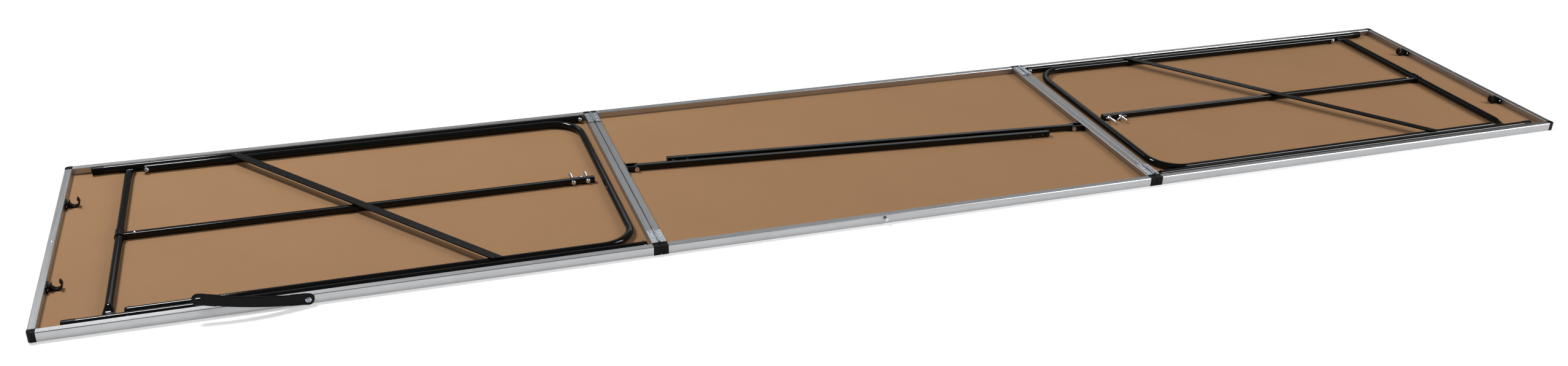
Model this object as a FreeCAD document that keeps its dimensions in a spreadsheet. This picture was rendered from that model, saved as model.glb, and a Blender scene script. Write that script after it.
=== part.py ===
import FreeCAD, Part
import math
import os
import re
import Sketcher

# Folding trestle table, lying on its work surface with the legs stowed, in millimetres.
# X runs along the table, +Y to the back, Z up; the left section is built in full and
# the right section is the left one turned half a turn about Z.

SIZES = {
    # Whole table
    "table_length": 3000,
    "table_width": 600,
    "joint_offset": 500,
    "joint_gap": 1,
    # Rails, boards and corner pieces
    "rail_width": 13,
    "rail_height": 17,
    "rail_wall": 1.5,
    "rail_edge": 1,
    "lip": 1,
    "groove_start": 5,
    "groove_clearance": 0.1,
    "board_thickness": 3,
    "board_clearance": 1,
    "corner_radius": 6,
    "tongue_length": 10,
    "tongue_clearance": 0.2,
    # Leg frame
    "tube_radius": 7,
    "tube_wall": 1.2,
    "tube_clearance": 0.9,
    "spacer_length": 1,
    "leg_pivot_gap": 25,
    "leg_foot_gap": 48,
    "foot_wall": 0.6,
    "foot_length": 20,
    "foot_end": 1.5,
    "cross_setback": 65,
    "cross_lift": 1.1,
    "cross_end_gap": 16,
    "tab_width": 19,
    "tab_thickness": 2.5,
    "tab_length": 10,
    "tab_gap": 0.2,
    # Prop frame
    "prop_setback": 30,
    "prop_gap": 1,
    "prop_run_gap": 35,
    "bend_radius": 60,
    "diagonal_width": 16,
    "diagonal_thickness": 2.5,
    "diagonal_back_gap": 161,
    "diagonal_front_gap": 247,
    "diagonal_setback": 1,
    "diagonal_overhang": 20,
    # Pivot bolts
    "bolt_radius": 3,
    "running_clearance": 0.05,
    "bolt_head_radius": 4.8,
    "bolt_head_height": 3.4,
    "spacer_wall": 2,
    "tail_wall": 1.5,
    "tail_height": 0.5,
    # Strut, its bolts and wing nuts
    "strut_size": 12,
    "strut_wall": 1.2,
    "strut_clearance": 0.3,
    "strut_end_gap": 19,
    "sleeve_clearance": 0.1,
    "sleeve_wall": 1.5,
    "sleeve_length": 24,
    "strut_bolt_margin": 13,
    "strut_bolt_spacing": 28,
    "strut_bolt_reach": 26,
    "wing_hub_wall": 2,
    "wing_hub_height": 4,
    "wing_start": 2,
    "wing_end": 9,
    "wing_span": 24,
    "wing_thickness": 2.2,
    "wing_tilt": 15,
    # Tube clips
    "clip_offset": 150,
    "clip_reach": 15.5,
    "clip_clearance": 0.5,
    "clip_length": 10,
    "clip_bore_clearance": 0.2,
    "clip_wall": 2.4,
    "clip_lip": 1.7,
    "clip_flange_length": 23,
    "clip_flange_thickness": 2.5,
    "clip_flange_margin": 0.7,
    "clip_web_gap": 1.5,
    # Brace bars and brackets of the middle section
    "bar_pivot_gap": 35,
    "bar_pivot_y": 28,
    "bar_end_gap": 100,
    "bar_end_y": 44,
    "bar_hole_clearance": 0.2,
    "cheek_gap": 0.3,
    "cheek_thickness": 2,
    "cheek_radius": 5.8,
    "bracket_plate": 2,
    "bracket_width": 32,
    "bar_head_radius": 5,
    "bar_head_height": 3,
    # Hinges
    "hinge_length": 45,
    "hinge_gap": 0.2,
    "leaf_thickness": 1.5,
    "leaf_margin": 0.5,
    "leaf_setback": 2.4,
    "knuckle_wall": 0.8,
    "knuckle_lift": 0.2,
    "pin_radius": 1.2,
    "barrel_wall": 1.3,
    "barrel_gap": 0.5,
    "barrel_lift": 0.4,
    # Carry handle, its screw and its stud
    "handle_z": 10,
    "handle_offset": 88,
    "stud_offset": 76,
    "handle_width": 19.6,
    "handle_thickness": 3.5,
    "handle_bow": 8,
    "handle_pad": 6,
    "handle_tilt": 9.8,
    "handle_eye_clearance": 0.4,
    "handle_screw_radius": 2.5,
    "handle_head_radius": 5,
    "handle_head_height": 3,
    "stud_radius": 3,
    "stud_head_radius": 3.6,
    "stud_head_height": 2,
    "stud_clearance": 0.2,
}

# Places that follow from the sizes
PLACES = {
    "board_top": "lip + board_thickness",
    "groove_top": "board_top + groove_clearance",
    "board_inset": "groove_start + board_clearance",
    "inner_y": "table_width/2 - rail_width",
    "leg_y": "inner_y - spacer_length - tube_radius",
    "prop_y": "leg_y - 2*tube_radius - prop_gap",
    "tube_z": "board_top + tube_clearance + tube_radius",
    "tube_top": "tube_z + tube_radius",
    "leg_pivot_x": "joint_offset + leg_pivot_gap",
    "leg_foot_x": "table_length/2 - leg_foot_gap",
    "cross_x": "leg_foot_x - cross_setback",
    "cross_z": "tube_z + cross_lift",
    "cross_half": "leg_y - tube_radius - cross_end_gap",
    "prop_pivot_x": "cross_x - prop_setback",
    "prop_run_x": "joint_offset + prop_run_gap",
    "diagonal_back_x": "prop_pivot_x - diagonal_back_gap",
    "diagonal_front_x": "prop_run_x + diagonal_front_gap",
    "strut_z": "board_top + strut_clearance + strut_size/2",
    "strut_end_x": "prop_run_x + strut_end_gap",
    "strut_bolt_near_x": "strut_end_x + strut_bolt_margin",
    "strut_bolt_far_x": "strut_bolt_near_x + strut_bolt_spacing",
    "head_ball": "(bolt_head_radius^2 + bolt_head_height^2)/(2*bolt_head_height)",
    "wing_hub_radius": "bolt_radius + wing_hub_wall",
    "clip_bore": "tube_radius + clip_bore_clearance",
    "clip_radius": "clip_bore + clip_wall",
    "clip_x": "table_length/2 - rail_width - clip_reach",
    "clip_z": "board_top + clip_clearance + clip_radius",
    "bar_pivot_x": "joint_offset - bar_pivot_gap",
    "bar_run": "bar_pivot_x + joint_offset - bar_end_gap",
    "bar_length": "(bar_run^2 + (bar_pivot_y + bar_end_y)^2)^0.5",
    "hinge_near_y": "inner_y - hinge_length",
    "leaf_top": "rail_height + leaf_thickness",
    "knuckle_radius": "pin_radius + knuckle_wall",
    "flat_axis_z": "rail_height + knuckle_radius + knuckle_lift",
    "barrel_radius": "pin_radius + barrel_wall",
    "barrel_x": "joint_offset + barrel_radius",
    "barrel_z": "rail_height + barrel_lift + barrel_radius",
    "handle_x": "2*joint_offset + handle_offset",
    "handle_spacing": "((handle_offset + stud_offset)^2 + (2*flat_axis_z - 2*handle_z)^2)^0.5",
    "bow_half": "handle_spacing/2 - handle_pad",
    "bow_radius": "(bow_half^2 + handle_bow^2)/(2*handle_bow)",
    "eye_radius": "stud_head_radius + handle_eye_clearance",
}

document = FreeCAD.newDocument("table")
sheet = document.addObject("Spreadsheet::Sheet", "sizes")
for row, (name, value) in enumerate(SIZES.items(), start=1):
    sheet.set(f"A{row}", name)
    sheet.set(f"B{row}", str(value))
    sheet.setAlias(f"B{row}", name)
document.recompute()


def owner(name):
    return "sizes." if name in SIZES else "places."


def bound(text):
    """Return the sum with each size or place name pointing at its own value."""
    return re.sub(r"[a-z]\w*", lambda word: owner(word.group()) + word.group(), text)


places = document.addObject("App::VarSet", "places")
for name, text in PLACES.items():
    places.addProperty("App::PropertyFloat", name)
    places.setExpression(name, bound(text))
document.recompute()

nodes = []
TURNS = {
    "x": FreeCAD.Rotation(FreeCAD.Vector(0, 1, 0), 90),
    "y": FreeCAD.Rotation(FreeCAD.Vector(1, 0, 0), -90),
    "z": FreeCAD.Rotation(),
}


def tie(item, **sums):
    for prop, text in sums.items():
        item.setExpression(prop, bound(text))


def put(item, x, y, z):
    for axis, text in zip("xyz", (x, y, z)):
        item.setExpression("Placement.Base." + axis, bound(text))


def new(kind):
    return document.addObject(kind, "piece")


def box(x, y, z):
    """Block between a (low, high) pair of sums on each axis."""
    item = new("Part::Box")
    for prop, (low, high) in zip(("Length", "Width", "Height"), (x, y, z)):
        item.setExpression(prop, bound(f"({high}) - ({low})"))
    put(item, x[0], y[0], z[0])
    return item


def rod(along, radius, span, first, second):
    """Cylinder along one axis; first and second are its other two coordinates."""
    item = new("Part::Cylinder")
    low, high = span
    tie(item, Radius=radius, Height=f"({high}) - ({low})")
    item.Placement = FreeCAD.Placement(FreeCAD.Vector(), TURNS[along])
    spots = {"x": (low, first, second), "y": (first, low, second), "z": (first, second, low)}
    put(item, *spots[along])
    return item


def hexagon(span, x, z, radius):
    """Six-sided head or nut with its axis along Y."""
    item = new("Part::Prism")
    low, high = span
    item.Polygon = 6
    tie(item, Circumradius=radius, Height=f"({high}) - ({low})")
    item.Placement = FreeCAD.Placement(FreeCAD.Vector(), TURNS["y"])
    put(item, x, low, z)
    return item


def dome(face, x, z):
    """Round bolt head: the cap of a ball with its flat side at y = face, pointing to -Y."""
    ball = new("Part::Sphere")
    tie(ball, Radius="head_ball")
    put(ball, x, f"{face} - bolt_head_height + head_ball", z)
    return common(ball, rod("y", "2*bolt_head_radius", (f"{face} - bolt_head_height", face), x, z))


def cut(base, *tools):
    """Take the tools away one after another."""
    for tool in tools:
        item = new("Part::Cut")
        item.Base = base
        item.Tool = tool
        base = item
    return base


def fuse(*items):
    item = new("Part::MultiFuse")
    item.Shapes = list(items)
    item.Refine = True
    return item


def common(first, second):
    item = new("Part::Common")
    item.Base = first
    item.Tool = second
    return item


def group(*items):
    item = new("Part::Compound")
    item.Links = list(items)
    return item


def mirrored(source):
    """Copy on the other side of the table's long centre plane."""
    item = new("Part::Mirroring")
    item.Source = source
    item.Normal = FreeCAD.Vector(0, 1, 0)
    return item


def turned(source):
    """Copy half a turn about Z: the same piece at the other end of the table."""
    item = group(source)
    half_turn = FreeCAD.Rotation(FreeCAD.Vector(0, 0, 1), 180)
    item.Placement = FreeCAD.Placement(FreeCAD.Vector(), half_turn)
    return item


def moved(source, axis, degrees, x, y, z):
    """Copy turned about an axis through the origin and then set at a place."""
    item = group(source)
    item.Placement = FreeCAD.Placement(FreeCAD.Vector(), FreeCAD.Rotation(axis, degrees))
    put(item, x, y, z)
    return item


def pair(item):
    return group(item, mirrored(item))


def node(label, item):
    item.Label = label
    nodes.append(item)
    return item


def amount(text):
    """Value of a sum of size and place names."""
    total = 0
    sign = 1
    for word in text.split():
        if word in ("+", "-"):
            sign = 1 if word == "+" else -1
        elif word != "0":
            total += sign * (SIZES[word] if word in SIZES else getattr(places, word))
    return total


def outline(sketch, corners):
    """Closed polygon whose corners are tied to sums of sizes."""
    first = sketch.GeometryCount
    spots = [FreeCAD.Vector(amount(across), amount(up), 0) for across, up in corners]
    for start, end in zip(spots, spots[1:] + spots[:1]):
        sketch.addGeometry(Part.LineSegment(start, end), False)
    count = len(corners)
    for index in range(count):
        follower = first + (index + 1) % count
        sketch.addConstraint(Sketcher.Constraint("Coincident", first + index, 2, follower, 1))
    for index, (across, up) in enumerate(corners):
        for kind, text, line in (("DistanceX", across, -2), ("DistanceY", up, -1)):
            if text == "0":
                sketch.addConstraint(Sketcher.Constraint("PointOnObject", first + index, 1, line))
                continue
            size = amount(text)
            spot = sketch.addConstraint(Sketcher.Constraint(kind, -1, 1, first + index, 1, size))
            sketch.setExpression(f"Constraints[{spot}]", bound(text))


def rail(inward, length, x, y):
    """Hollow extrusion with a board groove; its outer face stands at x, y."""
    sketch = new("Sketcher::SketchObject")
    up = FreeCAD.Vector(0, 0, 1)
    turn = FreeCAD.Rotation(inward, up, inward.cross(up), "XYZ")
    sketch.Placement = FreeCAD.Placement(FreeCAD.Vector(), turn)
    put(sketch, x, y, "0")
    outline(sketch, [
        ("rail_edge", "0"), ("rail_width", "0"), ("rail_width", "lip"), ("groove_start", "lip"),
        ("groove_start", "groove_top"), ("rail_width", "groove_top"),
        ("rail_width", "rail_height - rail_edge"), ("rail_width - rail_edge", "rail_height"),
        ("rail_edge", "rail_height"), ("0", "rail_height - rail_edge"), ("0", "rail_edge"),
    ])
    floor = "groove_top + rail_wall"
    outline(sketch, [
        ("rail_wall", floor), ("rail_width - rail_wall", floor),
        ("rail_width - rail_wall", "rail_height - rail_wall"), ("rail_wall", "rail_height - rail_wall"),
    ])
    item = new("Part::Extrusion")
    item.Base = sketch
    item.DirMode = "Normal"
    item.Solid = True
    item.FaceMakerClass = "Part::FaceMakerBullseye"
    tie(item, LengthFwd=length)
    return item


# Boards: loose in the rails' grooves, resting on the lips
END_X = "0 - table_length/2"
LEFT_JOINT_X = "0 - joint_offset - joint_gap/2"
MIDDLE_LEFT_X = "0 - joint_offset + joint_gap/2"
MIDDLE_RIGHT_X = "joint_offset - joint_gap/2"
FRONT_Y = "0 - table_width/2"
BOARD_Y = (FRONT_Y + " + board_inset", "table_width/2 - board_inset")
BOARD_Z = ("lip", "board_top")
left_board = box((END_X + " + board_inset", LEFT_JOINT_X + " - board_inset"), BOARD_Y, BOARD_Z)
node("left_board", left_board)
node("right_board", turned(left_board))
middle_span = (MIDDLE_LEFT_X + " + board_inset", MIDDLE_RIGHT_X + " - board_inset")
node("middle_board", box(middle_span, BOARD_Y, BOARD_Z))

# Rails: the side rails lie between the corner pieces, the cross rails likewise
INWARD_X = FreeCAD.Vector(1, 0, 0)
INWARD_Y = FreeCAD.Vector(0, 1, 0)
SIDE_LENGTH = "table_length/2 - joint_offset - joint_gap/2 - 2*rail_width"
CROSS_LENGTH = "table_width - 2*rail_width"
LEG_PIVOT_X = "0 - leg_pivot_x"
PIVOT_HOLE_Y = (FRONT_Y + " + rail_width - 2*rail_wall", FRONT_Y + " + rail_width + rail_wall")
side_rail = cut(
    rail(INWARD_Y, SIDE_LENGTH, END_X + " + rail_width", FRONT_Y),
    rod("y", "bolt_radius", PIVOT_HOLE_Y, LEG_PIVOT_X, "tube_z"))
OUTER_HOLE_Y = (FRONT_Y + " - rail_wall", FRONT_Y + " + 2*rail_wall")
HANDLE_X = "0 - handle_x"
handle_hole = rod("y", "handle_screw_radius", OUTER_HOLE_Y, HANDLE_X, "handle_z")
node("left_front_rail", cut(side_rail, handle_hole))
left_back = node("left_back_rail", mirrored(side_rail))
node("right_back_rail", turned(side_rail))
node("right_front_rail", turned(left_back))
left_end = node("left_end_rail", rail(INWARD_X, CROSS_LENGTH, END_X, "inner_y"))
node("right_end_rail", turned(left_end))
left_joint = node("left_joint_rail", rail(-INWARD_X, CROSS_LENGTH, LEFT_JOINT_X, "0 - inner_y"))
node("right_joint_rail", turned(left_joint))
MIDDLE_LENGTH = "2*joint_offset - joint_gap - 2*rail_width"
middle_side = rail(INWARD_Y, MIDDLE_LENGTH, MIDDLE_LEFT_X + " + rail_width", FRONT_Y)
STUD_X = "0 - stud_offset"
node("middle_front_rail", cut(middle_side, rod("y", "stud_radius", OUTER_HOLE_Y, STUD_X, "handle_z")))
node("middle_back_rail", turned(middle_side))
middle_left = node("middle_left_rail", rail(INWARD_X, CROSS_LENGTH, MIDDLE_LEFT_X, "inner_y"))
node("middle_right_rail", turned(middle_left))


# Corner pieces: a block filling the corner, with a tongue into each rail's hollow
def corner(x, rounded):
    """Corner at the front of a section's left end, or at its right end when x is the joint."""
    at_left = x != LEFT_JOINT_X
    sign = "+" if at_left else "-"

    def across(near, far):
        spots = (f"{x} {sign} ({near})", f"{x} {sign} ({far})")
        return spots if at_left else spots[::-1]

    def inward(near, far):
        return (f"{FRONT_Y} + {near}", f"{FRONT_Y} + {far}")

    height = ("0", "rail_height")
    if rounded:
        spot = f"{x} + corner_radius"
        body = fuse(
            rod("z", "corner_radius", height, spot, FRONT_Y + " + corner_radius"),
            box(across("corner_radius", "rail_width"), inward("0", "rail_width"), height),
            box(across("0", "rail_width"), inward("corner_radius", "rail_width"), height))
    else:
        body = box(across("0", "rail_width"), inward("0", "rail_width"), height)
    groove = box(
        across("groove_start", "2*rail_width"), inward("groove_start", "2*rail_width"),
        ("lip", "groove_top"))
    tongue_z = ("groove_top + rail_wall + tongue_clearance", "rail_height - rail_wall - tongue_clearance")
    slim = ("rail_wall + tongue_clearance", "rail_width - rail_wall - tongue_clearance")
    long = ("corner_radius", "rail_width + tongue_length")
    return fuse(cut(body, groove), box(across(*long), inward(*slim), tongue_z),
                box(across(*slim), inward(*long), tongue_z))


end_corners = node("left_end_corners", pair(corner(END_X, True)))
node("right_end_corners", turned(end_corners))
joint_corners = node("left_joint_corners", pair(corner(LEFT_JOINT_X, False)))
node("right_joint_corners", turned(joint_corners))
middle_corner = corner(MIDDLE_LEFT_X, False)
node("middle_corners", group(
    middle_corner, mirrored(middle_corner), turned(middle_corner), turned(mirrored(middle_corner))))

# Leg tubes: pivoted on the side rails, with a round eye at the pivot, and a foot on the free end
TUBE_BORE = "tube_radius - tube_wall"
FOOT_X = "0 - leg_foot_x"
PROP_PIVOT_X = "0 - prop_pivot_x"
RUN_HOLE = "bolt_radius + running_clearance"
EYE_Z = ("tube_z - 2*tube_radius", "tube_z + 2*tube_radius")
leg_span = (FOOT_X, LEG_PIVOT_X + " + 2*tube_radius")
leg_y_span = ("leg_y - 2*tube_radius", "leg_y + 2*tube_radius")
leg_blank = cut(
    rod("x", "tube_radius", leg_span, "leg_y", "tube_z"),
    rod("x", TUBE_BORE, leg_span, "leg_y", "tube_z"))
leg_end = cut(
    box((LEG_PIVOT_X, LEG_PIVOT_X + " + 3*tube_radius"), leg_y_span, EYE_Z),
    rod("y", "tube_radius", leg_y_span, LEG_PIVOT_X, "tube_z"))
leg_tube = cut(
    leg_blank, leg_end,
    rod("y", RUN_HOLE, leg_y_span, LEG_PIVOT_X, "tube_z"),
    rod("y", "bolt_radius", leg_y_span, PROP_PIVOT_X, "tube_z"))
leg_tubes = node("left_leg_tubes", pair(leg_tube))
node("right_leg_tubes", turned(leg_tubes))
foot_span = (FOOT_X + " - foot_end", FOOT_X + " + foot_length")
foot = cut(
    rod("x", "tube_radius + foot_wall", foot_span, "leg_y", "tube_z"),
    rod("x", "tube_radius", (FOOT_X, FOOT_X + " + 2*foot_length"), "leg_y", "tube_z"))
feet = node("left_leg_feet", pair(foot))
node("right_leg_feet", turned(feet))

# Cross tube: its ends are pinched flat and meet the inner sides of the leg tubes
CROSS_X = "0 - cross_x"
cross_span = ("0 - cross_half", "cross_half")
TAB_END = "leg_y - tube_radius - tab_gap"
TAB_START = TAB_END + " - tab_length"


def ring(kind, y, z, **radii):
    """Closed curve standing across the cross tube."""
    item = new(kind)
    tie(item, **radii)
    item.Placement = FreeCAD.Placement(FreeCAD.Vector(), TURNS["y"])
    put(item, CROSS_X, y, z)
    return item


def loft(first, second):
    item = new("Part::Loft")
    item.Sections = [first, second]
    item.Solid = True
    item.Ruled = True
    return item


def squashed(y):
    return ring("Part::Ellipse", y, "tube_z",
                MajorRadius="tab_width/2", MinorRadius="tab_thickness/2")


tab = fuse(loft(ring("Part::Circle", "cross_half", "cross_z", Radius="tube_radius"), squashed(TAB_START)),
           loft(squashed(TAB_START), squashed(TAB_END)))
cross = node("left_cross_tube", fuse(
    cut(rod("y", "tube_radius", cross_span, CROSS_X, "cross_z"),
        rod("y", TUBE_BORE, cross_span, CROSS_X, "cross_z")),
    tab, mirrored(tab)))
node("right_cross_tube", turned(cross))

# Leg bolts: head inside the tray, spacer between tube and rail, tail in the rail's wall
LEG_INNER = "leg_y - tube_radius"
LEG_OUTER = "leg_y + tube_radius"
BOLT_TAIL = "inner_y" + " + rail_wall"
leg_bolt = fuse(
    dome(LEG_INNER, LEG_PIVOT_X, "tube_z"),
    rod("y", "bolt_radius", (LEG_INNER, BOLT_TAIL), LEG_PIVOT_X, "tube_z"),
    rod("y", "bolt_radius + spacer_wall", (LEG_OUTER, "inner_y"), LEG_PIVOT_X, "tube_z"))
leg_bolts = node("left_leg_bolts", pair(leg_bolt))
node("right_leg_bolts", turned(leg_bolts))

# Frame bolts: hold the prop's ends on the leg tubes, their tails set flat against the tube
PROP_INNER = "prop_y - tube_radius"
FRAME_TAIL = (LEG_OUTER, LEG_OUTER + " + tail_height")
frame_bolt = fuse(
    dome(PROP_INNER, PROP_PIVOT_X, "tube_z"),
    rod("y", "bolt_radius", (PROP_INNER, FRAME_TAIL[1]), PROP_PIVOT_X, "tube_z"),
    rod("y", "bolt_radius + tail_wall", FRAME_TAIL, PROP_PIVOT_X, "tube_z"))
frame_bolts = node("left_frame_bolts", pair(frame_bolt))
node("right_frame_bolts", turned(frame_bolts))


# Prop: one tube bent to a U, its run lying near the joint
def prop_path():
    """Centre line of the prop: two legs, two bends and the run between them."""
    sketch = new("Sketcher::SketchObject")
    put(sketch, "0", "0", "tube_z")
    radius = amount("bend_radius")
    far = -amount("prop_pivot_x + tube_radius + tube_radius")
    side = amount("prop_y")
    near = -amount("prop_run_x")
    flat = FreeCAD.Vector(0, 0, 1)
    back, front = [Part.Circle(spot, flat, radius) for spot in (
        FreeCAD.Vector(near - radius, side - radius, 0), FreeCAD.Vector(near - radius, radius - side, 0))]
    sketch.addGeometry([
        Part.LineSegment(FreeCAD.Vector(far, side, 0), FreeCAD.Vector(near - radius, side, 0)),
        Part.ArcOfCircle(back, 0, math.pi / 2),
        Part.LineSegment(FreeCAD.Vector(near, side - radius, 0), FreeCAD.Vector(near, radius - side, 0)),
        Part.ArcOfCircle(front, -math.pi / 2, 0),
        Part.LineSegment(FreeCAD.Vector(near - radius, -side, 0), FreeCAD.Vector(far, -side, 0)),
    ], False)
    for rule in (("Tangent", 0, 2, 1, 2), ("Tangent", 1, 1, 2, 1), ("Tangent", 2, 2, 3, 2),
                 ("Tangent", 3, 1, 4, 1), ("Horizontal", 0), ("Vertical", 2), ("Horizontal", 4),
                 ("Equal", 1, 3), ("Symmetric", 0, 1, 4, 2, -1)):
        sketch.addConstraint(Sketcher.Constraint(*rule))
    for rule, text in ((("Radius", 1, radius), "bend_radius"), (("DistanceY", -1, 1, 0, 1, side), "prop_y"),
                       (("DistanceX", 0, 1, -1, 1, -far), "prop_pivot_x + 2*tube_radius"),
                       (("DistanceX", 2, 1, -1, 1, -near), "prop_run_x")):
        spot = sketch.addConstraint(Sketcher.Constraint(*rule))
        sketch.setExpression(f"Constraints[{spot}]", bound(text))
    return sketch


def bent_tube(radius):
    """Solid U of the given radius along the prop's centre line."""
    ring = new("Part::Circle")
    tie(ring, Radius=radius)
    ring.Placement = FreeCAD.Placement(FreeCAD.Vector(), TURNS["x"])
    put(ring, PROP_PIVOT_X + " - 2*tube_radius", "prop_y", "tube_z")
    item = new("Part::Sweep")
    item.Sections = [ring]
    item.Spine = (prop_line, [])
    item.Solid = True
    return item


prop_line = prop_path()
prop_y_span = ("prop_y - 2*tube_radius", "prop_y + 2*tube_radius")
prop_end = cut(
    box((PROP_PIVOT_X + " - 3*tube_radius", PROP_PIVOT_X), prop_y_span, EYE_Z),
    rod("y", "tube_radius", prop_y_span, PROP_PIVOT_X, "tube_z"))
prop_across = ("0 - prop_y - 2*tube_radius", "prop_y + 2*tube_radius")
prop_hole = rod("y", RUN_HOLE, prop_across, PROP_PIVOT_X, "tube_z")
prop_tube = node("left_prop_tube", cut(
    bent_tube("tube_radius"), bent_tube(TUBE_BORE), prop_end, mirrored(prop_end), prop_hole))
node("right_prop_tube", turned(prop_tube))

# Diagonal bar: flat steel across the top of the prop, its ends trimmed along the tubes
DIAGONAL_ANGLE = -math.degrees(math.atan2(
    amount("prop_y + prop_y"), amount("diagonal_back_x - diagonal_front_x")))
DIAGONAL_HALF = "((2*prop_y)^2 + (diagonal_back_x - diagonal_front_x)^2)^0.5/2 + diagonal_overhang"
flat_bar = box(
    ("0 - (" + DIAGONAL_HALF + ")", DIAGONAL_HALF), ("0 - diagonal_width/2", "diagonal_width/2"),
    ("tube_top", "tube_top + diagonal_thickness"))
DIAGONAL_X = "0 - (diagonal_back_x + diagonal_front_x)/2"
DIAGONAL_END = "prop_y + tube_radius - diagonal_setback"
trim = box((END_X, "0"), ("0 - (" + DIAGONAL_END + ")", DIAGONAL_END), ("0", "2*tube_top"))
diagonal = node("left_diagonal_bar", common(
    moved(flat_bar, FreeCAD.Vector(0, 0, 1), DIAGONAL_ANGLE, DIAGONAL_X, "0", "0"), trim))
node("right_diagonal_bar", turned(diagonal))

# Strut: square tube on a sleeve that turns on the cross tube
SLEEVE_BORE = "tube_radius + sleeve_clearance"
sleeve_span = ("0 - sleeve_length/2", "sleeve_length/2")
HALF = "strut_size/2"
HOLLOW = "strut_size/2 - strut_wall"
STRUT_END = "0 - strut_end_x"
strut_outside = box(
    (CROSS_X, STRUT_END), ("0 - " + HALF, HALF), ("strut_z - strut_size/2", "strut_z + strut_size/2"))
strut_hollow = box(
    (CROSS_X + " + tube_radius + 2*sleeve_wall", STRUT_END + " - strut_wall"),
    ("0 - (" + HOLLOW + ")", HOLLOW), ("strut_z - (" + HOLLOW + ")", "strut_z + " + HOLLOW))
strut_holes = [
    rod("y", "bolt_radius", ("0 - strut_size", "strut_size"), "0 - " + spot, "strut_z")
    for spot in ("strut_bolt_far_x", "strut_bolt_near_x")]
strut = node("left_strut_tube", cut(
    fuse(rod("y", SLEEVE_BORE + " + sleeve_wall", sleeve_span, CROSS_X, "cross_z"), strut_outside),
    rod("y", SLEEVE_BORE, sleeve_span, CROSS_X, "cross_z"), strut_hollow, *strut_holes))
node("right_strut_tube", turned(strut))


# Strut bolts and wing nuts
def strut_bolt(x):
    return fuse(
        dome("0 - strut_size/2", x, "strut_z"),
        rod("y", "bolt_radius", ("0 - strut_size/2", "strut_size/2 + strut_bolt_reach"), x, "strut_z"))


strut_bolts = node("left_strut_bolts", group(*[
    strut_bolt("0 - " + spot) for spot in ("strut_bolt_far_x", "strut_bolt_near_x")]))
node("right_strut_bolts", turned(strut_bolts))
wings = box(
    ("0 - wing_span/2", "wing_span/2"), ("wing_start", "wing_end"),
    ("0 - wing_thickness/2", "wing_thickness/2"))
valley = rod("y", "wing_hub_radius", ("wing_hub_height", "2*wing_end"), "0", "0")
nut_bore = rod("y", "bolt_radius", ("0 - wing_end", "2*wing_end"), "0", "0")
wing_hub = rod("y", "wing_hub_radius", ("0", "wing_hub_height"), "0", "0")
wing_nut = cut(fuse(wing_hub, cut(wings, valley)), nut_bore)
Y_AXIS = FreeCAD.Vector(0, 1, 0)
wing_nuts = node("left_wing_nuts", group(*[
    moved(wing_nut, Y_AXIS, SIZES["wing_tilt"] * side, "0 - " + spot, "strut_size/2", "strut_z")
    for spot, side in (("strut_bolt_far_x", 1), ("strut_bolt_near_x", -1))]))
node("right_wing_nuts", turned(wing_nuts))

# Tube clips: open rings on a flange on the end rail, that hold the prop's run when the table stands
CLIP_X = "0 - clip_x"
RAIL_INNER_X = END_X + " + rail_width"
clip_span = ("clip_offset - clip_length/2", "clip_offset + clip_length/2")
flange = box(
    (RAIL_INNER_X, RAIL_INNER_X + " + clip_flange_thickness"),
    ("clip_offset - clip_flange_length/2", "clip_offset + clip_flange_length/2"),
    ("board_top + clip_flange_margin", "rail_height - clip_flange_margin"))
web = box((RAIL_INNER_X, CLIP_X), clip_span, ("board_top + clip_web_gap", "clip_z"))
ABOVE = "clip_z + 2*clip_radius"
clip = cut(
    fuse(rod("y", "clip_radius", clip_span, CLIP_X, "clip_z"), web, flange),
    rod("y", "clip_bore", clip_span, CLIP_X, "clip_z"),
    box((CLIP_X + " - clip_bore + clip_lip", CLIP_X + " + clip_bore - clip_lip"), clip_span,
        ("clip_z", ABOVE)),
    box((CLIP_X + " - 2*clip_radius", CLIP_X), clip_span, ("rail_height", ABOVE)))
clips = node("left_tube_clips", pair(clip))
node("right_tube_clips", turned(clips))

# Brace bars: built along X from the pivot, then set across the middle section
BAR_ANGLE = -math.degrees(math.atan2(amount("bar_pivot_y + bar_end_y"), amount("bar_run")))
Z_AXIS = FreeCAD.Vector(0, 0, 1)
BAR_PLACE = (Z_AXIS, BAR_ANGLE, "0 - bar_pivot_x", "bar_pivot_y", "strut_z")
HALF_SPAN = ("0 - " + HALF, HALF)
HOLLOW_SPAN = ("0 - (" + HOLLOW + ")", HOLLOW)
bar_blank = fuse(box(("0", "bar_length"), HALF_SPAN, HALF_SPAN), rod("y", HALF, HALF_SPAN, "0", "0"))
bar_shape = cut(
    bar_blank, box(("strut_size", "bar_length - strut_wall"), HOLLOW_SPAN, HOLLOW_SPAN),
    rod("y", RUN_HOLE, ("0 - strut_size", "strut_size"), "0", "0"),
    *[rod("y", "bolt_radius + bar_hole_clearance", ("0 - strut_size", "strut_size"), spot, "0")
      for spot in ("bar_length - strut_bolt_margin - strut_bolt_spacing", "bar_length - strut_bolt_margin")])
left_bar = node("left_bar", moved(bar_shape, *BAR_PLACE))
node("right_bar", turned(left_bar))

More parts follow.
